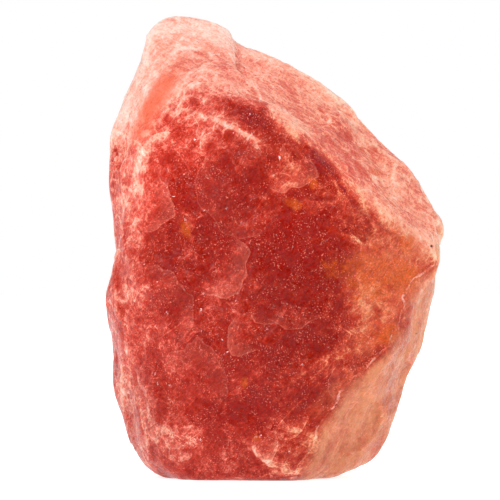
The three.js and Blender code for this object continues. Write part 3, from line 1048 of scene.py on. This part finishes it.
def mark_sides(mesh):
    """Keeps on the skin how far each point lies above the crest, or at the back how much it
    faces up, how far it lies beyond the border of the bevel, and how much it faces the left and
    the back."""
    broad = smoothed(mesh, normals_of(mesh), 3)
    broad /= np.linalg.norm(broad, axis=1)[:, None]
    x, z = np.array(CREST).T
    co = points_of(mesh) / MM
    front = co[:, 2] - np.interp(co[:, 0], x, z)
    # To the left the crest is rounded, so the roof starts over a longer way.
    front *= 0.3 + 0.7 * smoothstep(-19, -11, co[:, 0])
    top = 5 * (broad[:, 2] - 0.3)
    behind = smoothstep(-0.1, 0.35, broad[:, 1])
    above = front * (1 - behind) + top * behind
    store(mesh, "above", np.clip(above, -MARK_REACH, MARK_REACH))
    z, x = np.array(BORDER).T
    beyond = np.clip(0.8 * (co[:, 0] - np.interp(co[:, 2], z, x)), -MARK_REACH, MARK_REACH)
    # What faces right is at least halfway bevel.
    right = smoothstep(0.5, 0.95, broad[:, 0])
    store(mesh, "beyond", np.maximum(beyond, beyond * (1 - right) + 0.9 * right))
    store(mesh, "flank", smoothstep(0.3, 0.75, -broad[:, 0]))
    store(mesh, "back", smoothstep(-0.1, 0.5, broad[:, 1]))


def mark_edges(mesh):
    """Keeps on the skin where it stands proud, worn pale and with a painted highlight, and where
    it is hollow, with painted shade.
    """
    co = points_of(mesh)
    proud = ((co - smoothed(mesh, co, EDGE_ROUNDS)) * normals_of(mesh)).sum(axis=1)
    store(mesh, "edge", smoothstep(*EDGE_RELIEF, proud))
    store(mesh, "hollow", smoothstep(*EDGE_RELIEF, -proud))


class QUARTZ_OT_stone(bpy.types.Operator):
    """Make the strawberry quartz stone from its solid"""

    bl_idname = "quartz.stone"
    bl_label = "Strawberry quartz"

    def execute(self, context):
        shape = context.scene.quartz_shape
        skin = clean_mesh("quartz_skin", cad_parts[NODE])
        mark_sides(skin)
        stone = bpy.data.objects.new("strawberry_quartz_stone", skin)
        context.scene.collection.objects.link(stone)
        finer = stone.modifiers.new("finer", "SUBSURF")
        finer.levels = finer.render_levels = 2
        stone.data = applied(stone, "quartz_skin_fine")
        sharpen(stone.data, shape.sharpness, SHARP_ROUNDS)
        scar_skin(stone.data, shape)
        relief = stone.modifiers.new("relief", "NODES")
        relief.node_group = broken_relief()
        for name in ("facet_size", "facet_depth", "grain_size", "grain_depth"):
            set_input(relief, name.replace("_", " ").title(), getattr(shape, name))
        set_input(relief, "Finish", strawberry_quartz(context.scene.quartz_finish))
        stone.data = applied(stone, "strawberry_quartz_stone")
        mark_edges(stone.data)
        if len(stone.data.polygons) == 0:
            raise RuntimeError("the stone has no faces")
        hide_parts(NODE)
        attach(stone, "root")
        return {"FINISHED"}


def sun(context, name, strength, direction, spread):
    """A soft light from one direction, given as the point that it shines from."""
    lamp = bpy.data.lights.new(name, "SUN")
    lamp.energy = strength
    lamp.angle = math.radians(spread)
    made = bpy.data.objects.new(name, lamp)
    made.rotation_euler = Vector(direction).to_track_quat("Z", "Y").to_euler()
    context.scene.collection.objects.link(made)


def opal_acrylic(stage):
    """A sheet of opal acrylic on a light table: matt white, and softly lit from below, which
    leaves only a faint shadow."""
    material = bpy.data.materials.new("opal_acrylic_sheet")
    tree = empty_tree(material)
    matt = add(tree, "ShaderNodeBsdfDiffuse", {"Color": (*stage.floor, 1)})
    lit = add(tree, "ShaderNodeEmission", {"Color": (1, 1, 1, 1), "Strength": stage.table})
    both = add(tree, "ShaderNodeAddShader", {0: matt, 1: lit})
    add(tree, "ShaderNodeOutputMaterial", {"Surface": both})
    return material


class QUARTZ_OT_stage(bpy.types.Operator):
    """Make the studio: the floor, the lights and the camera"""

    bl_idname = "quartz.stage"
    bl_label = "Studio"

    def execute(self, context):
        stage = context.scene.quartz_stage
        scene = context.scene
        disc = bpy.data.meshes.new("studio_floor")
        radius, sides = 3.0, 96
        turns = [2 * math.pi * k / sides for k in range(sides)]
        ring = [(radius * math.cos(turn), radius * math.sin(turn), 0) for turn in turns]
        disc.from_pydata(ring, [], [list(range(sides))])
        disc.materials.append(opal_acrylic(stage))
        floor = bpy.data.objects.new("studio_floor", disc)
        scene.collection.objects.link(floor)

        world = bpy.data.worlds.new("studio_surround")
        tree = empty_tree(world)
        # The room is dim in front of the stone and bright above, beside and behind it.
        towards = add(tree, "ShaderNodeTexCoord").outputs["Generated"]
        behind = add(tree, "ShaderNodeSeparateXYZ", {0: towards}).outputs["Y"]
        glow = add(
            tree,
            "ShaderNodeMapRange",
            {
                "Value": behind,
                "From Min": -0.95,
                "From Max": 0.0,
                "To Min": stage.front,
                "To Max": stage.surround,
            },
        )
        seen = add(tree, "ShaderNodeLightPath").outputs["Is Camera Ray"]
        strength = add(tree, "ShaderNodeMapRange", {"Value": seen, "To Min": glow})
        sky = add(tree, "ShaderNodeBackground", {"Color": (1, 1, 1, 1), "Strength": strength})
        add(tree, "ShaderNodeOutputWorld", {"Surface": sky})
        scene.world = world
        scene.view_settings.view_transform = "Standard"

        sun(context, "key_light", stage.key, (-0.15, -0.35, 0.9), 60)
        sun(context, "rim_light", stage.rim, (0.75, -0.15, 0.6), 50)
        sun(context, "glint_light", stage.glint, (-0.55, -0.75, 0.55), 6)

        lens = bpy.data.cameras.new("camera")
        lens.lens = stage.lens
        lens.clip_start = 0.01
        camera = bpy.data.objects.new("camera", lens)
        camera.location = (AIM[0], -stage.distance, AIM[1])
        camera.rotation_euler = (math.radians(90), 0, 0)
        scene.collection.objects.link(camera)
        scene.camera = camera
        return {"FINISHED"}


class QUARTZ_PT_panel(bpy.types.Panel):
    """Sizes, colours and steps of the stone and its studio"""

    bl_label = "Strawberry quartz"
    bl_space_type = "VIEW_3D"
    bl_region_type = "UI"
    bl_category = "Quartz"

    def draw(self, context):
        for group, operator in (
            ("quartz_shape", None),
            ("quartz_finish", QUARTZ_OT_stone),
            ("quartz_stage", QUARTZ_OT_stage),
        ):
            box = self.layout.box()
            settings = getattr(context.scene, group)
            for name in type(settings).__annotations__:
                box.prop(settings, name)
            if operator:
                box.operator(operator.bl_idname)


GROUPS = {
    "quartz_shape": QUARTZ_PG_shape,
    "quartz_finish": QUARTZ_PG_finish,
    "quartz_stage": QUARTZ_PG_stage,
}
CLASSES = [*GROUPS.values(), QUARTZ_OT_stone, QUARTZ_OT_stage, QUARTZ_PT_panel]


def register():
    for cls in CLASSES:
        bpy.utils.register_class(cls)
    for name, group in GROUPS.items():
        setattr(bpy.types.Scene, name, bpy.props.PointerProperty(type=group))


def unregister():
    for name in GROUPS:
        delattr(bpy.types.Scene, name)
    for cls in reversed(CLASSES):
        bpy.utils.unregister_class(cls)


def main():
    register()
    bpy.ops.quartz.stone()
    bpy.ops.quartz.stage()


if __name__ == "__main__":
    main()
